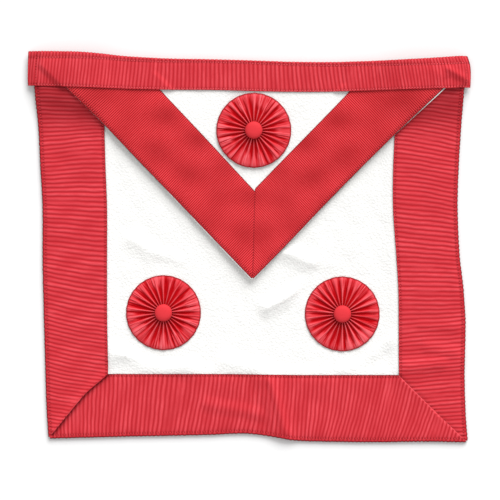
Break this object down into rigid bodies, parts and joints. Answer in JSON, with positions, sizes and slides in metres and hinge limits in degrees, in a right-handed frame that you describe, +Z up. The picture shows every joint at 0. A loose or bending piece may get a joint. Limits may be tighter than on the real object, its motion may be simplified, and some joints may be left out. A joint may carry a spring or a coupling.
{
  "type": "masonic apron",
  "caption": "Flat leather apron with ribbed ribbon borders, a pointed flap with ribbon edging, a folded waistband and pleated rosettes.",
  "frame": {"origin": "on the floor, under the middle of the laid apron's box", "axes": "+Z up, out of the apron's front; +Y towards the waistband; +X to the right of someone looking down at its front"},
  "size_m": [0.4076, 0.3604, 0.0133],
  "materials": {
    "white_leather": "matt, fine grain",
    "border_ribbon": "ribbed, slight sheen",
    "trim_ribbon": "finely ribbed, slight sheen",
    "rosette_ribbon": "pleated, slight sheen",
    "button_cloth": "stretched cloth"
  },
  "bodies": {
    "root": {"body_panel": "white_leather", "border_left": "border_ribbon", "border_right": "border_ribbon", "border_bottom": "border_ribbon", "flap_panel": "white_leather", "flap_trim_left": "trim_ribbon", "flap_trim_right": "trim_ribbon", "waistband": "border_ribbon", "rosette_flap": "rosette_ribbon", "rosette_left": "rosette_ribbon", "rosette_right": "rosette_ribbon", "button_flap": "button_cloth", "button_left": "button_cloth", "button_right": "button_cloth"}
  },
  "joints": []
}
